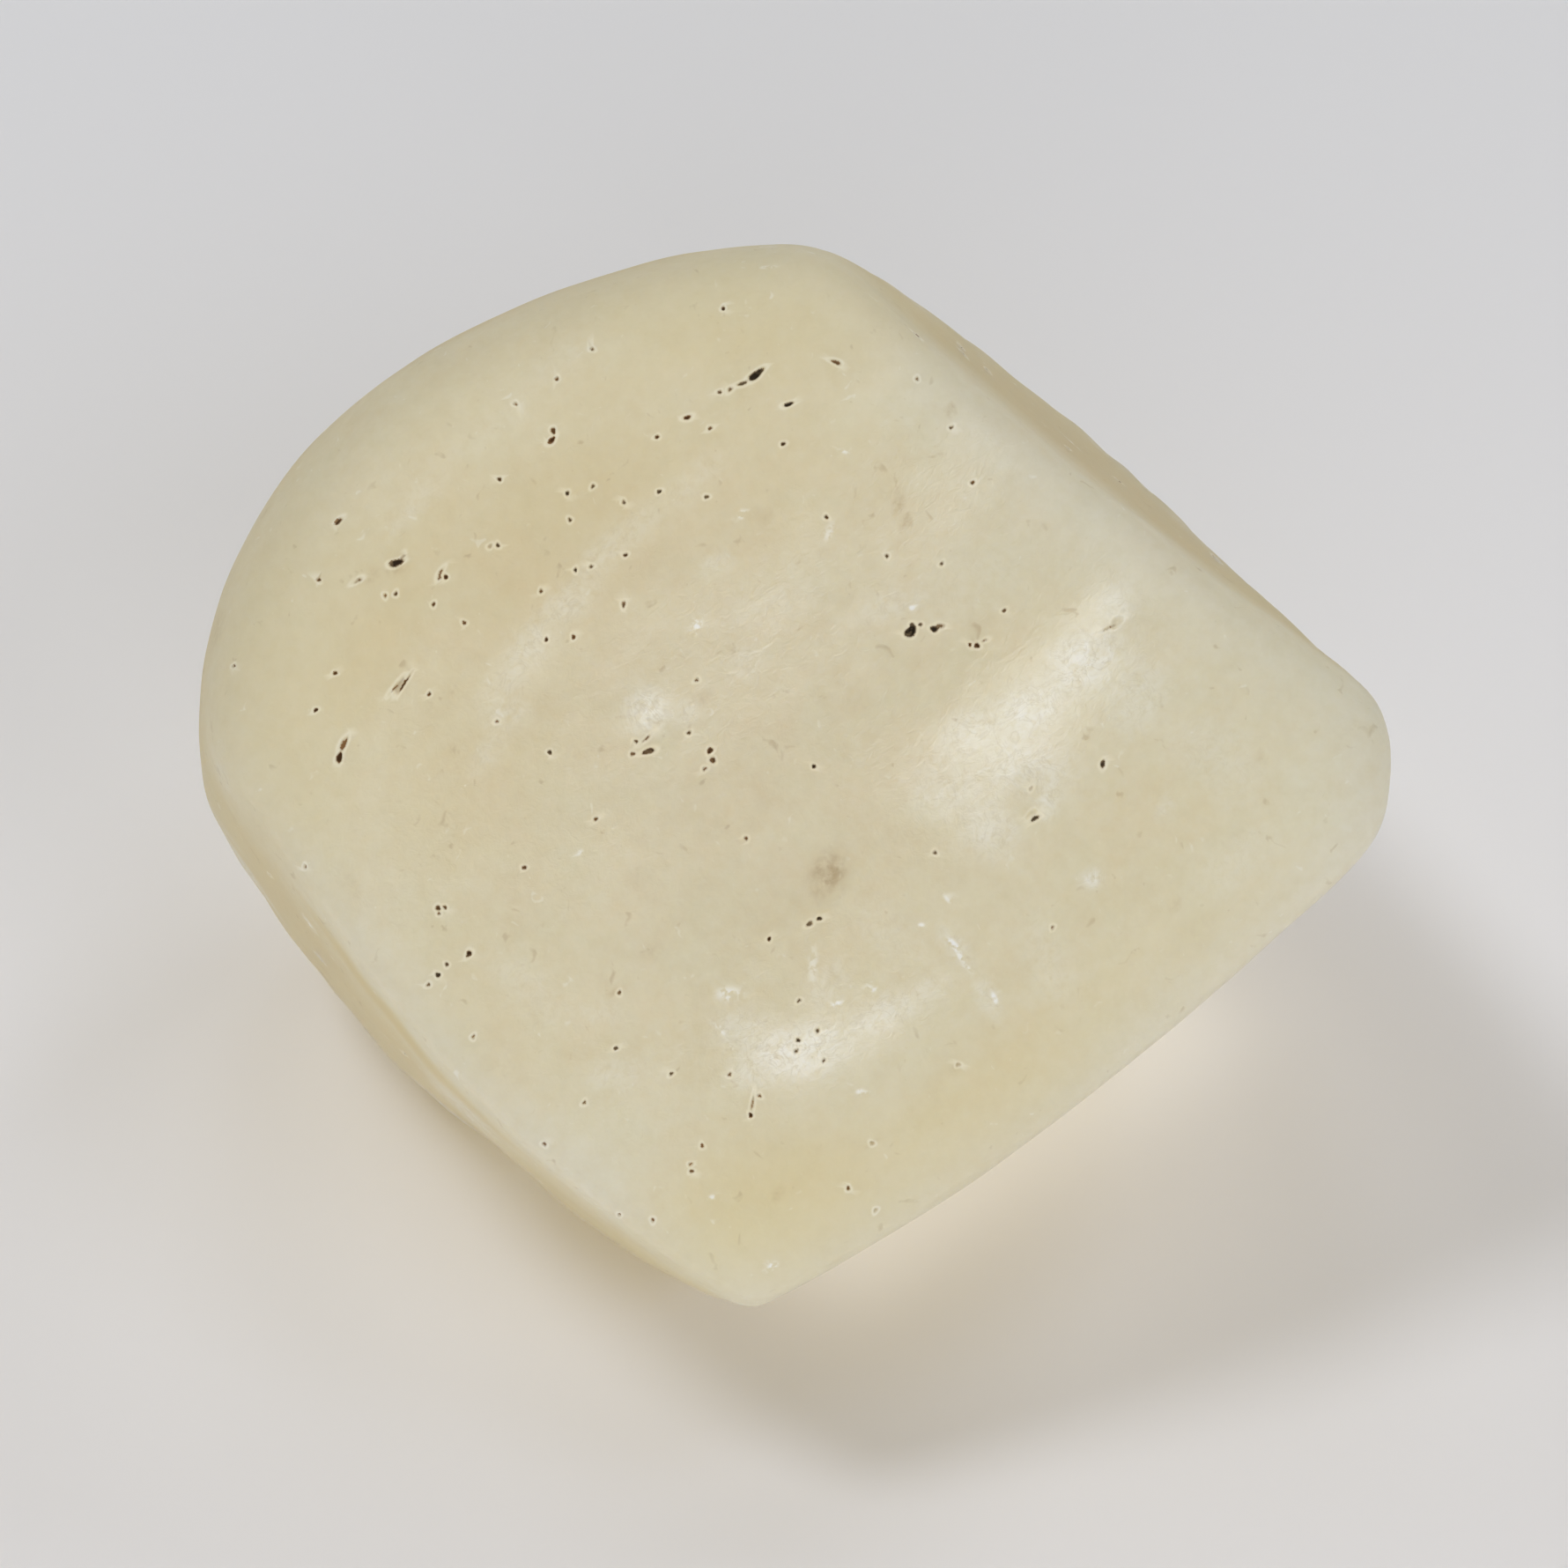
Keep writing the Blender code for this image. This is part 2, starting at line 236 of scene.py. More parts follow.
# Smaller ones as x, y and how dark they are, all nearly round and a tenth of a millimetre across
SPECKS = [
    (821, 350, 0.9), (672, 396, 0.6), (632, 430, 0.8), (585, 458, 0.6), (746, 496, 0.9),
    (817, 445, 0.7), (889, 504, 0.9), (806, 486, 0.6), (567, 544, 0.9), (748, 558, 0.9),
    (802, 564, 0.8), (644, 560, 0.9), (673, 552, 0.7), (708, 570, 0.6), (647, 590, 0.7),
    (565, 619, 0.8), (362, 658, 0.9), (449, 674, 0.8), (492, 686, 0.8), (527, 707, 0.8),
    (710, 630, 0.9), (671, 643, 0.6), (653, 647, 0.8), (614, 671, 0.7), (620, 726, 0.9),
    (651, 723, 0.9), (265, 756, 0.6), (380, 764, 0.9), (358, 806, 1.0), (487, 788, 0.8),
    (624, 854, 1.0), (791, 772, 0.5), (564, 819, 0.5), (782, 832, 0.7), (1041, 430, 0.5),
    (1080, 485, 0.6), (1104, 548, 0.8), (938, 587, 0.8), (1007, 631, 0.7), (1069, 640, 0.6),
    (1140, 693, 0.8), (924, 870, 1.0), (676, 930, 0.7), (595, 985, 0.9), (346, 984, 0.5),
    (507, 1095, 0.8), (486, 1118, 0.6), (703, 1127, 0.6), (537, 1177, 0.5), (699, 1190, 0.9),
    (762, 1219, 0.7), (847, 952, 0.7), (873, 1066, 1.0), (907, 1136, 0.6), (906, 1181, 0.9),
    (928, 1170, 0.7), (935, 1204, 0.6), (828, 1220, 0.6), (862, 1244, 0.6), (663, 1252, 0.6),
    (618, 1299, 0.8), (703, 1379, 0.6), (741, 1385, 0.6), (785, 1330, 0.7), (797, 1301, 0.6),
    (963, 1349, 0.7), (994, 1374, 0.4), (1061, 968, 0.6), (1195, 1053, 0.5), (1088, 1209, 0.4),
    (990, 1298, 0.4), (499, 656, 0.6), (1170, 895, 0.4), (784, 1322, 0.5), (556, 620, 0.4),
    (437, 676, 0.5),
]
SPECK_SIZE = 0.095
SPECK_LENGTH = 1.1  # over its width
SPECK_TURN = 40
PIT_DEPTH_SHARE = 0.7  # depth over width
UNEVEN_TWICE = 0.14  # how far a bubble's edge goes in and out twice around it
UNEVEN_THRICE = 0.10  # and three times around it
DIRT_EDGE = 1.05  # the dirt ends this far out, where 1 is the bubble's edge
DIRT_FADE = 0.3  # and is full this much further in
CARVE_LENGTHS = 1.2  # a bubble changes only what is nearer to its middle than this many of its lengths
CARVE_MARGIN = 0.1  # and this much more
BLOT_LENGTHS = 1.5  # and any other spot only what is nearer to its middle than this many of its lengths
RIM_AT, RIM_WIDTH = 0.034, 0.026  # where the pale rim is, beyond an open bubble's edge, and how wide it is
DIRTY = 0.42  # a face with more dirt than this is dirt and no longer glass
PIT_MARGIN, FLECK_MARGIN = 0.13, 0.04  # cells are also split this far beyond the end of a bubble or a fleck
# The sides get painted shade, with clearer glass there: darker, yellower and duller
SIDE_CLEAR_GLASS_AND_SHADE = 0.72  # how deep in colour the sides are
SIDE_FADE = 3.5  # how far below the front face's dome they are as deep as that
SIDE_CURVE = 0.8  # less than 1 brings the depth sooner
SEAT_FADE = 1.5  # how far above the underside the ripples have their full height
BACK_RIPPLE = 3.0  # how much more the back is rippled than the front face
BACK_FADE = 4.0  # over how much depth behind the heart that comes in
BACK_START = 0.3  # and where it starts, as a share of that depth

# What is scattered on the sides that the photograph doesn't show: how many, the smallest and largest length,
# how rare the large ones are, the thinnest one's width over its length, and the faintest and strongest amount
Far = namedtuple("Far", "count smallest largest rarity thinnest faintest strongest")
FAR_TRIES = 4  # directions that are drawn for each one that is wanted
FAR_TOWARDS_CAMERA = 0.35  # a direction that points more to the camera than this is left out
FAR_DOWN = -0.85  # and so is one that points further down
SCATTER_SEED = 29
FAR_PITS = Far(96, 0.11, 0.44, 4, 0.55, 0.45, 1.0)
FAR_FLECKS = Far(40, 0.12, 0.50, 2, 0.30, 0.30, 0.8)
FAR_VEILS = Far(70, 0.80, 3.60, 1, 0.30, 0.10, 0.6)
FAR_SMUDGES = Far(30, 0.20, 1.60, 2, 0.40, 0.20, 0.7)

# Small pale scars with painted glints on them, veils where the skin is scratched pale with painted sheen over
# them, and clouds of dirt under the skin
FLECKS = [
    Mark(828, 1128, 0.62, 0.34, 0, 0.55),
    Mark(923, 1095, 0.90, 0.22, 88, 0.35),
    Mark(842, 584, 0.22, 0.16, 60, 0.8),
    Mark(791, 710, 0.40, 0.26, 80, 0.6),
    Mark(1083, 1073, 0.46, 0.14, -52, 0.95),
    Mark(1090, 1086, 0.26, 0.12, -60, 0.7),
    Mark(1046, 1050, 0.16, 0.10, 0, 0.7),
    Mark(1129, 1133, 0.30, 0.12, -70, 0.8),
    Mark(949, 1140, 0.22, 0.14, 20, 0.7),
    Mark(990, 1123, 0.26, 0.14, 10, 0.6),
    Mark(818, 1169, 0.34, 0.12, -50, 0.6),
    Mark(830, 1188, 0.30, 0.10, -40, 0.5),
    Mark(1241, 998, 0.40, 0.30, 60, 0.3),
    Mark(976, 1239, 0.20, 0.12, 10, 0.6),
    Mark(877, 1437, 0.26, 0.18, 30, 0.6),
    Mark(809, 1359, 0.18, 0.12, 0, 0.5),
    Mark(957, 512, 0.30, 0.10, -20, 0.5),
    Mark(941, 604, 0.50, 0.20, 70, 0.3),
    Mark(1035, 690, 0.14, 0.12, 0, 0.7),
    Mark(1216, 499, 0.60, 0.16, -58, 0.8),
    Mark(658, 968, 0.20, 0.10, 40, 0.5),
    Mark(528, 890, 0.26, 0.08, 50, 0.4),
    Mark(872, 303, 0.40, 0.12, 0, 0.4),
    Mark(1075, 1020, 0.26, 0.12, -50, 0.5),
    Mark(1100, 1100, 0.24, 0.10, -50, 0.5),
]
# Painted sheen over pale frosted skin, where the front face catches the light
PALE_FROST_AND_SHEEN = [
    Mark(1268, 684, 1.00, 0.90, 40, 0.34),
    Mark(1229, 752, 2.00, 1.40, 38, 0.66),
    Mark(1168, 808, 2.10, 1.40, 36, 0.58),
    Mark(1102, 832, 1.90, 1.20, 30, 0.50),
    Mark(1160, 868, 2.40, 1.50, -20, 0.50),
    Mark(1078, 896, 2.00, 1.50, 0, 0.40),
    Mark(1122, 940, 1.60, 1.30, -40, 0.45),
    Mark(1190, 905, 1.20, 0.60, 80, 0.50),
    Mark(1290, 790, 1.90, 1.50, 60, 0.34),
    Mark(1238, 998, 0.60, 0.50, 0, 0.50),
    Mark(1322, 916, 0.60, 0.40, 60, 0.30),
    Mark(1010, 690, 2.20, 0.70, 20, 0.30),
    Mark(1100, 660, 3.20, 1.80, 30, 0.14),
    Mark(735, 806, 1.20, 1.10, 30, 0.66),
    Mark(774, 810, 1.00, 0.60, 10, 0.40),
    Mark(642, 687, 2.20, 0.90, 42, 0.38),
    Mark(684, 632, 2.20, 0.80, 50, 0.34),
    Mark(604, 732, 2.40, 0.90, 52, 0.40),
    Mark(573, 776, 1.80, 0.80, 54, 0.34),
    Mark(576, 813, 1.20, 0.60, 20, 0.34),
    Mark(556, 850, 1.60, 0.60, 60, 0.24),
    Mark(724, 597, 1.80, 0.80, 42, 0.24),
    Mark(790, 545, 2.40, 0.70, 40, 0.20),
    Mark(552, 490, 2.60, 0.70, 42, 0.08),
    Mark(512, 528, 2.20, 0.70, 46, 0.06),
    Mark(612, 432, 2.00, 0.60, 38, 0.08),
    Mark(650, 402, 0.90, 0.40, 30, 0.16),
    Mark(470, 574, 2.00, 0.60, 50, 0.22),
    Mark(813, 640, 0.90, 0.50, 20, 0.34),
    Mark(849, 750, 1.20, 0.80, 30, 0.28),
    Mark(880, 690, 2.60, 1.00, 20, 0.20),
    Mark(905, 1192, 2.70, 1.30, 8, 0.68),
    Mark(846, 1172, 1.50, 1.00, -20, 0.50),
    Mark(862, 1216, 1.60, 0.70, 10, 0.45),
    Mark(1000, 1152, 2.00, 0.90, 24, 0.50),
    Mark(1050, 1128, 1.40, 0.70, 34, 0.36),
    Mark(940, 1120, 1.40, 0.90, 60, 0.30),
    Mark(1085, 1075, 1.30, 0.60, -55, 0.36),
    Mark(1120, 1130, 1.20, 0.50, -65, 0.36),
    Mark(1010, 1060, 2.40, 1.20, -40, 0.18),
    Mark(1190, 1090, 2.60, 1.20, -70, 0.16),
    Mark(700, 1220, 1.60, 0.80, 10, 0.26),
    Mark(680, 1150, 1.40, 0.50, 0, 0.22),
    Mark(600, 1120, 2.60, 1.00, -45, 0.18),
    Mark(1380, 860, 2.60, 1.60, -30, 0.18),
    Mark(1400, 980, 2.40, 1.20, 40, 0.14),
]
SMUDGES = [
    Mark(940, 992, 1.05, 0.76, 60, 0.85),
    Mark(926, 1010, 0.60, 0.26, 85, 0.5),
    Mark(450, 642, 0.62, 0.40, 20, 0.55),
    Mark(420, 655, 0.90, 0.26, 25, 0.35),
    Mark(1029, 592, 0.40, 0.30, 20, 0.9),
    Mark(1020, 570, 0.50, 0.30, 80, 0.7),
    Mark(867, 585, 0.28, 0.20, 0, 0.7),
    Mark(1080, 468, 0.34, 0.26, 60, 0.8),
    Mark(1262, 712, 0.50, 0.26, 30, 0.5),
    Mark(884, 1356, 0.30, 0.18, 40, 0.5),
    Mark(1337, 1027, 0.36, 0.24, 40, 0.5),
    Mark(1431, 861, 0.30, 0.24, 0, 0.5),
    Mark(1085, 1212, 0.40, 0.20, 40, 0.4),
    Mark(512, 850, 0.40, 0.26, 30, 0.3),
    Mark(740, 1080, 0.70, 0.50, 20, 0.3),
    Mark(800, 790, 0.40, 0.14, 40, 0.35),
    Mark(745, 640, 1.60, 0.80, 40, 0.15),
    Mark(560, 1200, 2.60, 1.10, -42, 0.15),
    Mark(1360, 1060, 1.80, 0.90, 40, 0.15),
    Mark(400, 1010, 1.20, 0.50, -60, 0.2),
    Mark(700, 1125, 0.60, 0.20, 40, 0.35),
    Mark(845, 955, 0.22, 0.12, 80, 0.5),
    Mark(990, 1298, 0.44, 0.12, 30, 0.4),
]


def axes_of(face):
    """Outward normal, sideways and uphill directions of a face."""
    heading = math.radians(face.heading)
    pitch = math.radians(face.pitch)
    level = math.cos(pitch)
    out = np.array([math.cos(heading) * level, math.sin(heading) * level, math.sin(pitch)])
    side = np.array([-math.sin(heading), math.cos(heading), 0.0])
    return out, side, np.cross(out, side)


FRONT_OUT, FRONT_SIDE, FRONT_UP = axes_of(FACES["front"])


def swelling(swell, side, up):
    """Height that a swell adds at each place on its face: a bell curve, longer one way than the other."""
    turn = math.radians(swell.turn)
    along = (side - swell.side) * math.cos(turn) + (up - swell.up) * math.sin(turn)
    across = (up - swell.up) * math.cos(turn) - (side - swell.side) * math.sin(turn)
    return swell.height * np.exp(-((along / swell.length) ** 2) - (across / swell.width) ** 2)


def height_over(name, points):
    """How far each point is above one worn face: its reach along the normal, less the dome and the swells."""
    face = FACES[name]
    out, side_axis, up_axis = axes_of(face)
    side = points @ side_axis
    up = points @ up_axis
    surface = np.full(len(points), float(face.reach))
    if face.bow_side:
        surface -= side**2 / (2 * face.bow_side)
    if face.bow_up:
        surface -= up**2 / (2 * face.bow_up)
    for swell in SWELLS:
        if swell.face == name:
            surface += swelling(swell, side, up)
    return points @ out - surface


def meet(one, other, edge):
    """The larger of two heights, rounded off where they differ by less than the edge."""
    near = np.maximum(edge - np.abs(one - other), 0) / edge
    return np.maximum(one, other) + near**3 * edge / 6


def outside(points):
    """How far each point is outside the stone: its greatest height over any face, with rounded edges."""
    height = height_over("front", points)
    for name, face in FACES.items():
        if name != "front":
            height = meet(height, height_over(name, points), face.edge)
    return height


def surface_along(lines, start=(0, 0, 0), near=NEAREST, far=FARTHEST):
    """Where each unit line from start crosses the surface between two distances, found by halving."""
    start = np.array(start, float)
    low = np.full((len(lines), 1), near)
    high = np.full((len(lines), 1), far)
    low_inside = outside(start + lines * low)[:, None] < 0
    for _ in range(HALVINGS):
        middle = (low + high) / 2
        same_side = (outside(start + lines * middle)[:, None] < 0) == low_inside
        low = np.where(same_side, middle, low)
        high = np.where(same_side, high, middle)
    return start + lines * (low + high) / 2


def normals_at(points):
    """The outward normal at each point, from how fast the height changes along X, Y and Z."""
    steps = SLOPE_STEP * np.eye(3)
    slopes = [outside(points + step) - outside(points - step) for step in steps]
    normals = np.stack(slopes, axis=1)
    return normals / np.linalg.norm(normals, axis=1)[:, None]


LAST_STEP = np.array([SIDE_CELLS, SIDE_CELLS, DEPTH_CELLS]) * SPLIT  # fine steps along the block's edges
KEY_BASE = 5000  # more than the fine steps along any edge
KEY = np.array([1, KEY_BASE, KEY_BASE**2])  # makes one number of a whole-number place


def block_cells():
    """The cells on the block's six sides: a corner of each in fine steps, and the ways along its edges."""
    corners, us, vs = [], [], []
    for axis in range(3):
        ways = np.roll(np.eye(3, dtype=int), -axis, axis=0)
        out, u, v = ways
        steps_u, steps_v = LAST_STEP @ u, LAST_STEP @ v
        i, j = np.meshgrid(np.arange(0, steps_u, SPLIT), np.arange(0, steps_v, SPLIT), indexing="ij")
        flat = i.reshape(-1, 1) * u + j.reshape(-1, 1) * v
        for level in (0, LAST_STEP @ out):
            corners.append(flat + level * out)
            us.append(np.broadcast_to(u if level else v, flat.shape))
            vs.append(np.broadcast_to(v if level else u, flat.shape))
    return np.concatenate(corners), np.concatenate(us), np.concatenate(vs)


def woven(corners, us, vs, split):
    """Vertices' places on the block, the loops and sizes of the faces, and which vertices are in split cells.

    A split cell becomes SPLIT by SPLIT small squares. Any other cell is one face around its edge, which also
    takes in the vertices that a split neighbour has put there, so that the surface stays closed.
    """
    def around(mask, a, b):
        """Keys of the places a and b fine steps along the two edges from each chosen cell's corner."""
        ring = a[:, None] * us[mask][:, None] + b[:, None] * vs[mask][:, None]
        return (corners[mask][:, None] + ring) @ KEY

    i, j = np.divmod(np.arange(SPLIT**2), SPLIT)
    squares = [around(split, i + a, j + b) for a, b in ((0, 0), (1, 0), (1, 1), (0, 1))]
    squares = np.stack(squares, axis=2).reshape(-1, 4)
    up, still = np.arange(SPLIT), np.zeros(SPLIT, int)
    edge_u = np.concatenate([up, still + SPLIT, SPLIT - up, still])
    edge_v = np.concatenate([still, up, still + SPLIT, SPLIT - up])
    rings = around(~split, edge_u, edge_v)
    kept = np.isin(rings, np.unique(squares)) | (np.arange(4 * SPLIT) % SPLIT == 0)
    loops = np.concatenate([squares.ravel(), rings[kept]])
    sizes = np.concatenate([np.full(len(squares), 4), kept.sum(axis=1)])
    keys, loops = np.unique(loops, return_inverse=True)
    places = np.stack([keys % KEY_BASE, keys // KEY_BASE % KEY_BASE, keys // KEY_BASE**2], axis=1)
    return places / LAST_STEP * 2 - 1, loops, sizes, np.isin(keys, squares)


def first_lines(places):
    """Unit lines from the heart through places on the block, with the block turned to the front face."""
    turn = math.radians(BLOCK_TURN)
    along = math.cos(turn) * FRONT_SIDE + math.sin(turn) * FRONT_UP
    across = math.cos(turn) * FRONT_UP - math.sin(turn) * FRONT_SIDE
    half = np.array([BLOCK_SIDE, BLOCK_SIDE, BLOCK_DEPTH]) / 2
    lines = (places * half) @ np.array([along, across, FRONT_OUT])
    return lines / np.linalg.norm(lines, axis=1)[:, None]


CAMERA_PLACE = (
    FRONT_OUT * CAMERA_DISTANCE
    + FRONT_SIDE * (PICTURE / 2 - HEART_X) / PIXELS_PER_MM
    + FRONT_UP * (HEART_Y - PICTURE / 2) / PIXELS_PER_MM
)


def seen_at(marks):
    """The point of the surface that the camera sees at each mark's pixel."""
    x = np.array([mark.x for mark in marks], float)
    y = np.array([mark.y for mark in marks], float)
    right = (x - PICTURE / 2) / PIXELS_PER_MM
    up = (PICTURE / 2 - y) / PIXELS_PER_MM
    lines = right[:, None] * FRONT_SIDE + up[:, None] * FRONT_UP - CAMERA_DISTANCE * FRONT_OUT
    lines /= np.linalg.norm(lines, axis=1)[:, None]
    return surface_along(lines, CAMERA_PLACE, CAMERA_DISTANCE - SEEN_FARTHEST, CAMERA_DISTANCE - SEEN_NEAREST)


def seen_with_turn(marks):
    """Where marks of the photograph are on the surface, and the way they run there."""
    turn = np.radians([mark.turn for mark in marks])[:, None]
    return seen_at(marks), np.cos(turn) * FRONT_SIDE + np.sin(turn) * FRONT_UP


Spots = namedtuple("Spots", "centre along length width amount")


def spots(marks, far=None, chance=None):
    """Marks where the photograph shows them, then random ones on the sides that it doesn't show."""
    centre, along = seen_with_turn(marks)
    # A bubble's soot is in the place of a mark's amount
    length, width, amount = np.array([mark[2:4] + mark[5:] for mark in marks]).T
    if not far:
        return Spots(centre, along, length, width, amount)
    ways = chance.normal(size=(far.count * FAR_TRIES, 3))
    ways /= np.linalg.norm(ways, axis=1)[:, None]
    ways = ways[(ways @ FRONT_OUT < FAR_TOWARDS_CAMERA) & (ways[:, 2] > FAR_DOWN)][:far.count]
    far_length = far.smallest + (far.largest - far.smallest) * chance.random(len(ways)) ** far.rarity
    return Spots(
        np.concatenate([centre, surface_along(ways)]),
        np.concatenate([along, chance.normal(size=ways.shape)]),
        np.concatenate([length, far_length]),
        np.concatenate([width, far_length * chance.uniform(far.thinnest, 1, len(ways))]),
        np.concatenate([amount, chance.uniform(far.faintest, far.strongest, len(ways))]),
    )


def within(points, centres, radii):
    """Which points are nearer to any centre than its radius."""
    found = np.zeros(len(points), bool)
    for centre, radius in zip(centres, radii):
        found |= ((points - centre) ** 2).sum(axis=1) < radius**2
    return found


def reach_of(away, out, along, length, width):
    """How far out each point is in an oval on the surface, where 1 is its edge, and in which direction."""
    along = along - out * (along @ out)
    along /= np.linalg.norm(along)
    along_share, across_share = away @ along * 2 / length, away @ np.cross(out, along) * 2 / width
    return np.hypot(along_share, across_share), np.arctan2(across_share, along_share)


def carve(points, normals, fine, found, chance):
    """Each hollow cut as half a flattened ball with an uneven edge, and its dirt and pale rim from 0 to 1."""
    deep = np.zeros(len(points))
    soot = np.zeros(len(points))
    rim = np.zeros(len(points))
    for centre, along, length, width, dirt in zip(*found):
        away = points - centre
        distance = (away**2).sum(axis=1)
        close = np.flatnonzero(fine & (distance < (CARVE_LENGTHS * length + CARVE_MARGIN) ** 2))
        reach, angle = reach_of(away[close], normals[np.argmin(distance)], along, length, width)
        one, other = chance.uniform(0, 2 * math.pi, 2)
        reach *= 1 + UNEVEN_TWICE * np.sin(2 * angle + one) + UNEVEN_THRICE * np.sin(3 * angle + other)
        floor = PIT_DEPTH_SHARE * width * np.sqrt(np.clip(1 - reach**2, 0, 1))
        deep[close] = np.maximum(deep[close], floor)
        soot[close] = np.maximum(soot[close], dirt * np.clip((DIRT_EDGE - reach) / DIRT_FADE, 0, 1))
        beyond = (reach - 1) * width / 2
        rim[close] = np.maximum(rim[close], np.exp(-(((beyond - RIM_AT) / RIM_WIDTH) ** 2)))
    return points - normals * deep[:, None], soot, rim * (1 - soot)


def blots(points, normals, found):
    """How strongly each point is in any of the spots: its amount in the middle, fading over its edge."""
    share = np.zeros(len(points))
    for centre, along, length, width, amount in zip(*found):
        away = points - centre
        distance = (away**2).sum(axis=1)
        close = np.flatnonzero(distance < (BLOT_LENGTHS * length) ** 2)
        reach, _ = reach_of(away[close], normals[np.argmin(distance)], along, length, width)
        share[close] = np.maximum(share[close], amount * np.exp(-(reach**3)))
    return share


# A ripple is a sum of waves in random directions. A stretch below 1 draws them out along the grain.
Ripple = namedtuple("Ripple", "wavelength height waves seed stretch")
RIPPLES = [
    Ripple(2.6, 0.012, 24, 3, 0.6),
    Ripple(1.2, 0.006, 36, 5, 0.45),
]
GRAIN_TURN = 42  # the way the ripples run on the front face
WAVES_LOOSEST, WAVES_TIGHTEST = 0.7, 1.4  # how many waves fit in a length, over what the wavelength says


def rippled(points):
    """Height of the wind-worn ripples: the sum of their sines.

    It is scaled so that a ripple's height is the root mean square of its own sum.
    """
    turn = math.radians(GRAIN_TURN)
    grain = math.cos(turn) * FRONT_SIDE + math.sin(turn) * FRONT_UP
    height = np.zeros(len(points))
    for ripple in RIPPLES:
        chance = np.random.default_rng(ripple.seed)
        ways = chance.normal(size=(ripple.waves, 3))
        ways /= np.linalg.norm(ways, axis=1)[:, None]
        tightness = chance.uniform(WAVES_LOOSEST, WAVES_TIGHTEST, (ripple.waves, 1))
        ways *= (2 * math.pi / ripple.wavelength) * tightness
        ways -= grain * (ways @ grain)[:, None] * (1 - ripple.stretch)
        phase = chance.uniform(0, 2 * math.pi, ripple.waves)
        height += ripple.height * np.sin(points @ ways.T + phase).sum(axis=1) * math.sqrt(2 / ripple.waves)
    return height


def stone_surface():
    """Vertices, the faces' loops and sizes, which are dirt, and what the colour needs at each vertex."""
    chance = np.random.default_rng(SCATTER_SEED)
    corners, us, vs = block_cells()
    specks = [Pit(x, y, SPECK_SIZE * SPECK_LENGTH, SPECK_SIZE, SPECK_TURN, soot) for x, y, soot in SPECKS]
    found = spots(PITS + specks, FAR_PITS, chance)
    flecks = spots(FLECKS, FAR_FLECKS, chance)
    middles = surface_along(first_lines((corners + (us + vs) * SPLIT / 2) / LAST_STEP * 2 - 1))
    split = within(middles, found.centre, found.length * 0.5 + PIT_MARGIN)
    split |= within(middles, flecks.centre[:len(FLECKS)], flecks.length * 0.5 + FLECK_MARGIN)
    places, loops, sizes, fine = woven(corners, us, vs, split)
    points = surface_along(first_lines(places))
    normals = normals_at(points)
    # Painted shade on the sides below the front face's dome and at the marks, with clearer glass there
    below = np.clip(-height_over("front", points) / SIDE_FADE, 0, 1) ** SIDE_CURVE
    clear_glass_and_shade = np.maximum(SIDE_CLEAR_GLASS_AND_SHADE * below, blots(points, normals, spots(CLEAR_GLASS_AND_SHADE)))
    # Painted glints on the small pale scars
    pale = blots(points, normals, flecks)
    # Painted sheen over the pale frosted veils
    frost_and_sheen = blots(points, normals, spots(PALE_FROST_AND_SHEEN, FAR_VEILS, chance))
    smudge = blots(points, normals, spots(SMUDGES, FAR_SMUDGES, chance))
    above = np.clip((points[:, 2] + SEAT_DEPTH) / SEAT_FADE, 0, 1)
    hidden = np.clip(-(points @ FRONT_OUT) / BACK_FADE - BACK_START, 0, 1)
    points += normals * (rippled(points) * above * (1 + BACK_RIPPLE * hidden))[:, None]
    points, soot, rim = carve(points, normals, fine, found, chance)
    points[:, 2] = np.maximum(points[:, 2], -SEAT_DEPTH)
    dirty = np.add.reduceat(soot[loops], np.cumsum(sizes) - sizes) / sizes > DIRTY
    return points, loops, sizes, dirty, {
        "soot": soot, "rim": rim, "pale": pale, "frost_and_sheen": frost_and_sheen, "smudge": smudge, "clear_glass_and_shade": clear_glass_and_shade,
    }


def seated(points):
    """Points in metres in the frame, their box centred and seated as the solid's, and where the heart is."""
    middle = (points.min(axis=0) + points.max(axis=0)) / 2
    seat = np.array([middle[0], middle[1], -SEAT_DEPTH])
    base = np.array([(solid_low.x + solid_high.x) / 2, (solid_low.y + solid_high.y) / 2, solid_low.z])
    return (points - seat) * MM + base, base - seat * MM


def mesh_object(name, points, loops, sizes, slots=None, layers=None):
    """An object from whole arrays: places, vertex numbers around the faces, and how many each face has."""
    mesh = bpy.data.meshes.new(name)
    mesh.vertices.add(len(points))
    mesh.vertices.foreach_set("co", points.astype(np.float32).ravel())
    mesh.loops.add(len(loops))
    mesh.loops.foreach_set("vertex_index", loops.astype(np.int32))
    mesh.polygons.add(len(sizes))
    mesh.polygons.foreach_set("loop_start", (np.cumsum(sizes) - sizes).astype(np.int32))
    if slots is not None:
        mesh.polygons.foreach_set("material_index", slots.astype(np.int32))
    mesh.update(calc_edges=True)
    mesh.validate()
    mesh.shade_smooth()
    for layer, values in (layers or {}).items():
        stored = mesh.attributes.new(layer, "FLOAT", "POINT")
        stored.data.foreach_set("value", values.astype(np.float32))
    made = bpy.data.objects.new(name, mesh)
    bpy.context.scene.collection.objects.link(made)
    return made


# Glass

def add_node(tree, kind, settings=None, **inputs):
    """A shader node with its settings, and each input either joined to another node's output or set.

    An input is given by its name, with _ for a space, or by its number after a _.
    """
    node = tree.nodes.new(kind)
    for key, value in (settings or {}).items():
        setattr(node, key, value)
    for key, value in inputs.items():
        socket = node.inputs[int(key[1:]) if key[0] == "_" else key.replace("_", " ")]
        if isinstance(value, bpy.types.NodeSocket):
            tree.links.new(value, socket)
        else:
            socket.default_value = value
    return node


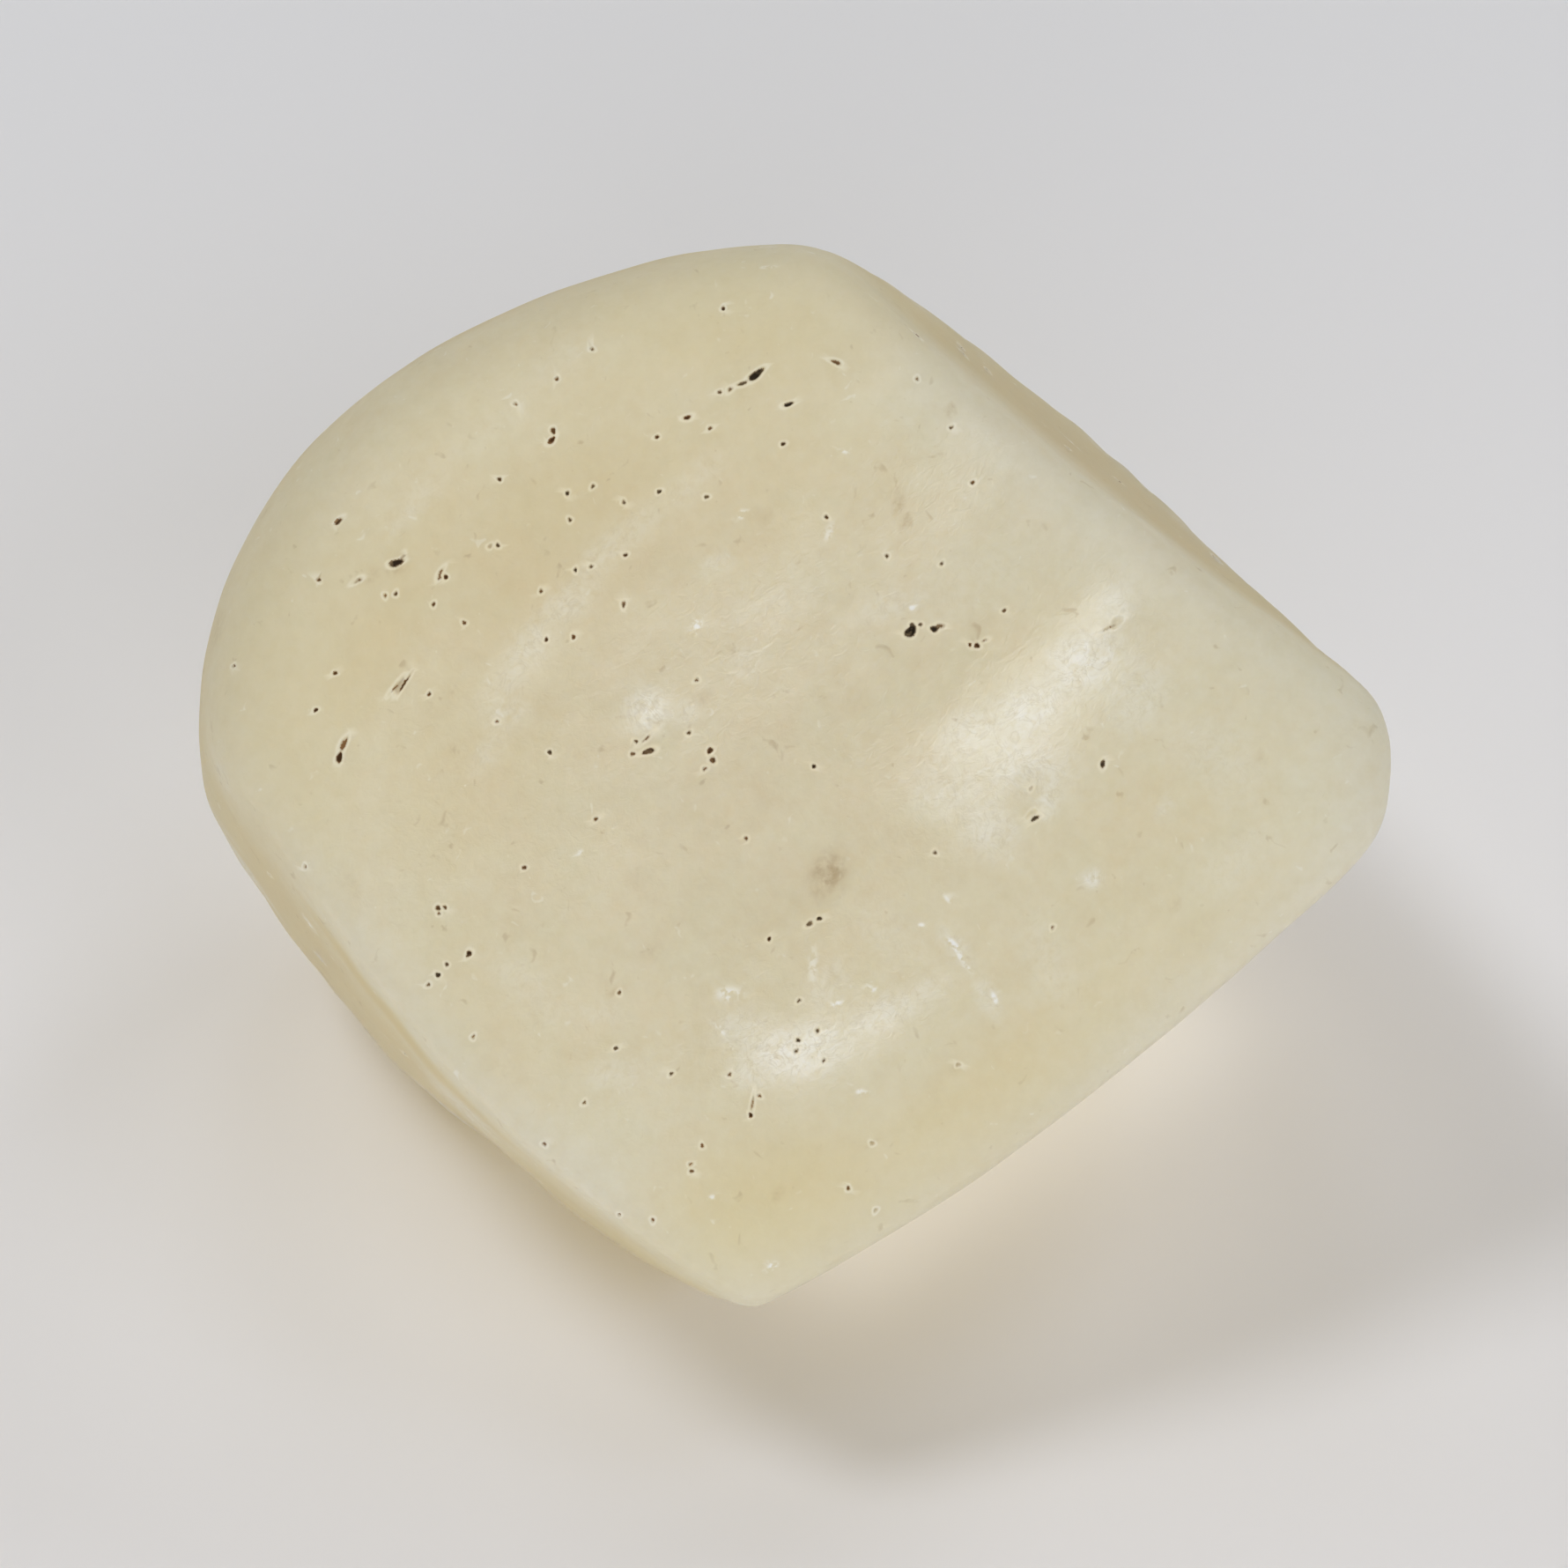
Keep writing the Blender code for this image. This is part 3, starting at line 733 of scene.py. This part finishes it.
def mixed(tree, share, one, other):
    """A colour that goes from one to the other as the share goes from 0 to 1.

    Inputs 6 and 7 and output 2 are the ones that a Mix node has for colours.
    """
    return add_node(tree, "ShaderNodeMix", {"data_type": "RGBA"}, Factor=share, _6=one, _7=other).outputs[2]


def layer(tree, name):
    """What was stored at the vertices under this name."""
    return add_node(tree, "ShaderNodeAttribute", {"attribute_name": name}).outputs["Fac"]


def product(tree, one, other):
    """One value times the other."""
    return add_node(tree, "ShaderNodeMath", {"operation": "MULTIPLY"}, _0=one, _1=other).outputs[0]


def noise(tree, where, scale, detail, roughness=0.55, distortion=0.0):
    """Noise from 0 to 1. Scale is the number of its grains in a metre, so 2000 makes half a millimetre."""
    return add_node(
        tree, "ShaderNodeTexNoise", Vector=where, Scale=scale, Detail=detail, Roughness=roughness,
        Distortion=distortion,
    ).outputs["Fac"]


def spread(tree, value, low, high, least=0.0, most=1.0):
    """The value between low and high stretched from least to most."""
    return add_node(
        tree, "ShaderNodeMapRange", Value=value, From_Min=low, From_Max=high, To_Min=least, To_Max=most,
    ).outputs["Result"]


def scratched(tree, where):
    """Noise of fine wrinkles, drawn out along the grain of the wind."""
    turns = math.radians(90 - FRONT_PITCH), 0.0, math.radians(GRAIN_TURN)
    drawn_out = (1.8, 1.0, 1.0)
    along_grain = add_node(
        tree, "ShaderNodeMapping", {"vector_type": "TEXTURE"}, Vector=where, Rotation=turns, Scale=drawn_out,
    )
    return noise(tree, along_grain.outputs["Vector"], 4200.0, 3.0, 0.6, 1.0)


def cracks_in(tree, value, width):
    """1 along the lines where the value passes a half, and 0 where it is further from that than the width."""
    above = add_node(tree, "ShaderNodeMath", {"operation": "SUBTRACT"}, _0=value, _1=0.5).outputs[0]
    apart = add_node(tree, "ShaderNodeMath", {"operation": "ABSOLUTE"}, _0=above).outputs[0]
    return spread(tree, apart, width, 0.0)


def glass_material():
    """Milky glass: light spreads under its skin, and one colour after another is laid over the first."""
    material = bpy.data.materials.new("frosted desert glass")
    material.use_nodes = True
    tree = material.node_tree
    shader = tree.nodes["Principled BSDF"]
    where = add_node(tree, "ShaderNodeTexCoord").outputs["Object"]

    # Painted shade and clearer glass: darker, yellower and rougher
    clear_glass_and_shade = layer(tree, "clear_glass_and_shade")
    # Painted sheen over the pale frosted veils
    frost_and_sheen_share = layer(tree, "frost_and_sheen")
    grit = noise(tree, where, 5200.0, 2.0, 0.6)
    fibres = scratched(tree, where)
    wrinkles = noise(tree, where, 1700.0, 3.0, 0.6, 1.2)
    cloud = spread(tree, noise(tree, where, 170.0, 4.0), 0.3, 0.7)
    greener = spread(tree, noise(tree, where, 520.0, 4.0, 0.6, 0.4), 0.35, 0.65)
    browner = spread(tree, noise(tree, where, 1250.0, 3.0, 0.6), 0.40, 0.68)
    mottle = spread(tree, noise(tree, where, 2600.0, 3.0, 0.6), 0.25, 0.75)
    smudge = product(tree, layer(tree, "smudge"), spread(tree, grit, 0.30, 0.65))
    stains = spread(tree, noise(tree, where, 2300.0, 2.0, 0.5, 0.6), 0.68, 0.77)
    glints = spread(tree, noise(tree, where, 3300.0, 1.0, 0.5, 0.8), 0.72, 0.80)
    grain = product(tree, spread(tree, fibres, 0.15, 0.60), spread(tree, grit, 0.10, 0.50))
    frost_and_sheen = product(tree, frost_and_sheen_share, grain)
    cracks = product(tree, cracks_in(tree, wrinkles, 0.035), frost_and_sheen_share)
    # Painted glints on the small pale scars
    scar_glints = product(tree, spread(tree, layer(tree, "pale"), 0.0, 0.6), spread(tree, grit, 0.42, 0.54))
    colour = mixed(tree, cloud, (0.740, 0.657, 0.470, 1.0), (0.766, 0.697, 0.522, 1.0))
    for share, strength, laid_over in (
        (greener, 0.60, (0.725, 0.688, 0.512)),
        (browner, 0.32, (0.665, 0.590, 0.410)),
        (mottle, 0.44, (0.83, 0.79, 0.65)),
        # painted shade and clearer glass
        (clear_glass_and_shade, 1.0, (0.685, 0.560, 0.295)),
        (smudge, 1.0, (0.50, 0.39, 0.21)),
        (stains, 0.34, (0.42, 0.31, 0.14)),
        (glints, 0.30, (0.95, 0.94, 0.88)),
        # painted sheen over the pale veils
        (frost_and_sheen, 1.0, (0.93, 0.92, 0.87)),
        (cracks, 0.45, (0.45, 0.38, 0.24)),
        (layer(tree, "rim"), 0.75, (0.90, 0.84, 0.68)),
        # painted glints
        (scar_glints, 0.85, (1.0, 0.99, 0.95)),
        (layer(tree, "soot"), 1.0, (0.24, 0.15, 0.07)),
    ):
        colour = mixed(tree, product(tree, share, strength), colour, (*laid_over, 1.0))
    tree.links.new(colour, shader.inputs["Base Color"])
    tree.links.new(spread(tree, clear_glass_and_shade, 0.0, 1.0, 0.40, 0.95), shader.inputs["Roughness"])

    low_bump = add_node(tree, "ShaderNodeBump", Height=wrinkles, Strength=1.0, Distance=0.014 * MM)
    fine_bump = add_node(
        tree, "ShaderNodeBump", Height=fibres, Strength=1.0, Distance=0.018 * MM,
        Normal=low_bump.outputs["Normal"],
    )
    tree.links.new(fine_bump.outputs["Normal"], shader.inputs["Normal"])

    shader.inputs["IOR"].default_value = 1.5
    shader.inputs["Specular IOR Level"].default_value = 0.8
    shader.inputs["Subsurface Weight"].default_value = 1.0
    shader.inputs["Subsurface Radius"].default_value = (1.0, 0.95, 0.8)
    shader.inputs["Subsurface Scale"].default_value = 15 * MM
    return material


def dirt_material():
    """Brown-black dirt in the open bubbles, rustier where it is thin."""
    material = bpy.data.materials.new("dirt in the bubbles")
    material.use_nodes = True
    tree = material.node_tree
    shader = tree.nodes["Principled BSDF"]
    where = add_node(tree, "ShaderNodeTexCoord").outputs["Object"]
    lumps = spread(tree, noise(tree, where, 6000.0, 2.0), 0.2, 0.5)
    thick = product(tree, spread(tree, layer(tree, "soot"), 0.35, 0.95), lumps)
    rust = spread(tree, noise(tree, where, 420.0, 1.0), 0.4, 0.6)
    thin_dirt = mixed(tree, rust, (0.290, 0.215, 0.125, 1), (0.350, 0.190, 0.080, 1))
    thick_dirt = mixed(tree, rust, (0.032, 0.024, 0.016, 1), (0.075, 0.036, 0.015, 1))
    tree.links.new(mixed(tree, thick, thin_dirt, thick_dirt), shader.inputs["Base Color"])
    shader.inputs["Roughness"].default_value = 0.9
    shader.inputs["Specular IOR Level"].default_value = 0.15
    return material


# Studio

FLOOR_HALF = 1.5  # half of the floor's edge, in metres
FLOOR_NEAR, FLOOR_FAR = -30 * MM, 40 * MM  # between these the floor goes from its near to its far colour


def floor_material():
    """A dull pale floor, a little cooler and darker towards the back, as painted shade."""
    material = bpy.data.materials.new("pale floor")
    material.use_nodes = True
    tree = material.node_tree
    shader = tree.nodes["Principled BSDF"]
    where = add_node(tree, "ShaderNodeTexCoord").outputs["Object"]
    away = add_node(tree, "ShaderNodeSeparateXYZ", Vector=where).outputs["Y"]
    # Painted shade: cooler and darker towards the back
    back = spread(tree, away, FLOOR_NEAR, FLOOR_FAR)
    colour = mixed(tree, back, (0.83, 0.815, 0.81, 1.0), (0.75, 0.755, 0.77, 1.0))
    tree.links.new(colour, shader.inputs["Base Color"])
    shader.inputs["Roughness"].default_value = 0.7
    return material


def floor(height):
    """A level square under the stone."""
    signs = (-1, -1), (1, -1), (1, 1), (-1, 1)
    corners = np.array([(x * FLOOR_HALF, y * FLOOR_HALF, height) for x, y in signs])
    made = mesh_object("floor", corners, np.arange(4), np.array([4]))
    made.data.materials.append(floor_material())
    return made


def area_lamp(name, place, target, size, power, colour):
    """A round lamp that faces its target, with its size in metres and its power in watts."""
    light = bpy.data.lights.new(name, "AREA")
    light.shape = "DISK"
    light.size = size
    light.energy = power
    light.color = colour
    made = bpy.data.objects.new(name, light)
    made.location = place
    made.rotation_euler = (Vector(target) - Vector(place)).to_track_quat("-Z", "Y").to_euler()
    bpy.context.scene.collection.objects.link(made)
    return made


LAMP_DISTANCE = 0.5  # from the heart of the stone, in metres
BROAD = 0.34  # the size of the lamps that light the stone

# The colours of the lamps' light
PLAIN = (1.0, 0.99, 0.97)
WARM = (1.0, 0.98, 0.975)
WARMER = (1.0, 0.98, 0.97)
COOL = (0.98, 0.99, 1.0)

# Heading and pitch are the lamp's direction from the stone. Size is in metres and power in watts.
Lamp = namedtuple("Lamp", "name heading pitch size power colour through", defaults=(None,))
# The share of a lamp's red, green and blue that the glass lets through to the floor
THROUGH = 0.255, 0.195, 0.065
THROUGH_THE_CROWN = 0.26, 0.24, 0.19
FLOOR_LAMPS = [
    Lamp("low front lamp", -90, 22, 0.40, 0.88, WARM, THROUGH),
    Lamp("right front lamp", -40, 35, 0.30, 0.56, WARM, THROUGH),
    Lamp("high left lamp", 160, 60, 0.14, 0.89, COOL, THROUGH_THE_CROWN),
    Lamp("high right lamp", 20, 65, 0.14, 0.16, COOL, THROUGH),
    Lamp("back lamp", 93, 55, 0.14, 0.16, WARMER, THROUGH),
    Lamp("back left lamp", 130, 40, 0.14, 0.22, WARMER, THROUGH),
    Lamp("back right lamp", 46, 38, 0.14, 0.40, WARMER, THROUGH),
]
STONE_LAMPS = [
    Lamp("broad front lamp", -90, 50, BROAD, 0.90, PLAIN),
    Lamp("broad right lamp", -40, 35, BROAD, 0.48, PLAIN),
    Lamp("broad left lamp", -140, 35, BROAD, 0.17, PLAIN),
    Lamp("low left lamp", -148, 0, BROAD, 0.12, PLAIN),
    Lamp("broad low lamp", -90, 8, BROAD, 0.20, PLAIN),
    Lamp("broad high lamp", 100, 85, BROAD, 0.18, PLAIN),
    Lamp("upper left lamp", 145, 45, BROAD, 0.24, PLAIN),
    Lamp("upper back lamp", 75, 45, BROAD, 0.14, PLAIN),
    Lamp("broad back lamp", 100, 12, BROAD, 0.50, PLAIN),
    Lamp("upper right lamp", 25, 50, BROAD, 0.14, PLAIN),
]
SHEEN = Lamp("sheen lamp", -129, 70, 0.21, 0.82, (1.0, 1.0, 1.0))  # seen only as gloss, as a window is


def aimed(lamp, name, heart, colour):
    """A lamp in its direction from the heart of the stone, facing it."""
    out, _, _ = axes_of(Face(lamp.heading, lamp.pitch, 0, 0))
    return area_lamp(name, heart + out * LAMP_DISTANCE, heart, lamp.size, lamp.power, colour)


def alone(piece):
    """A collection of one piece, for a lamp to light or for its light to stop at."""
    collection = bpy.data.collections.new(piece.name + " alone")
    collection.objects.link(piece)
    return collection


def lamps(heart, stone, shown_floor):
    """The soft light on the floor, the softer light on the stone, and one lamp for the sheen.

    Each floor lamp is two at one place: the glass blocks the first, and the second is what it lets through.
    """
    floor_alone, stone_alone = alone(shown_floor), alone(stone)
    for lamp in FLOOR_LAMPS:
        stopped = [part * (1 - share) for part, share in zip(lamp.colour, lamp.through)]
        passing = [part * share for part, share in zip(lamp.colour, lamp.through)]
        blocked = aimed(lamp, lamp.name, heart, stopped)
        passed = aimed(lamp, lamp.name + " through the glass", heart, passing)
        passed.light_linking.blocker_collection = floor_alone
        for made in (blocked, passed):
            made.light_linking.receiver_collection = floor_alone
            made.visible_glossy = False
    for lamp in STONE_LAMPS:
        made = aimed(lamp, lamp.name, heart, lamp.colour)
        made.light_linking.receiver_collection = made.light_linking.blocker_collection = stone_alone
        made.visible_glossy = False
    aimed(SHEEN, SHEEN.name, heart, SHEEN.colour).visible_diffuse = False


# Light that the stone gathers and throws on the floor beside it: a long warm lamp under each overhang.
# X and y are its middle in millimetres, and turn is the way it runs, in degrees from +X towards +Y.
Glow = namedtuple("Glow", "name x y height length width turn power colour")
GLOWS = [
    Glow("glow on the right", 6.2, -3.9, 1.8, 14, 3.4, 39, 0.42e-4, (1.0, 0.98, 0.90)),
    Glow("glow on the left", -5.5, -5.5, 1.6, 8, 2, -43, 0.04e-4, (1.0, 0.82, 0.40)),
]


def glows(shown_floor):
    """The warm light beside the stone, on the floor alone."""
    lit = bpy.data.collections.new("what the glow meets")
    lit.objects.link(shown_floor)
    for glow in GLOWS:
        place = Vector((glow.x, glow.y, glow.height)) * MM
        below = place - Vector((0, 0, 1))
        made = area_lamp(glow.name, place, below, glow.length * MM, glow.power, glow.colour)
        made.data.shape = "RECTANGLE"
        made.data.size_y = glow.width * MM
        made.rotation_euler = (0, 0, math.radians(glow.turn))
        made.light_linking.receiver_collection = lit
        made.light_linking.blocker_collection = lit
        made.visible_camera = False


SKY_COLOUR = (0.96, 0.975, 1.0, 1.0)
SKY_STRENGTH = 0.08


def sky():
    """Faint even room light."""
    world = bpy.data.worlds.new("soft room light")
    world.use_nodes = True
    background = world.node_tree.nodes["Background"]
    background.inputs["Color"].default_value = SKY_COLOUR
    background.inputs["Strength"].default_value = SKY_STRENGTH
    bpy.context.scene.world = world


def camera(heart):
    """The photograph's camera: square to the front face, at its distance and with its angle of view."""
    data = bpy.data.cameras.new("camera")
    data.sensor_width = SENSOR
    data.lens = SENSOR * CAMERA_DISTANCE * PIXELS_PER_MM / PICTURE
    data.clip_start = CLIP_START * MM
    made = bpy.data.objects.new("camera", data)
    made.matrix_world = Matrix((FRONT_SIDE, FRONT_UP, FRONT_OUT)).transposed().to_4x4()
    made.location = heart + CAMERA_PLACE * MM
    bpy.context.scene.collection.objects.link(made)
    bpy.context.scene.camera = made


points, loops, sizes, dirty, layers = stone_surface()
points, heart = seated(points)
stone = mesh_object("frosted_stone", points, loops, sizes, dirty, layers)
stone.data.materials.append(glass_material())
stone.data.materials.append(dirt_material())
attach(stone, "root")
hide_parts("desert_glass")

shown_floor = floor(solid_low.z)
lamps(heart, stone, shown_floor)
glows(shown_floor)
sky()
camera(heart)
bpy.context.scene.view_settings.view_transform = "Standard"
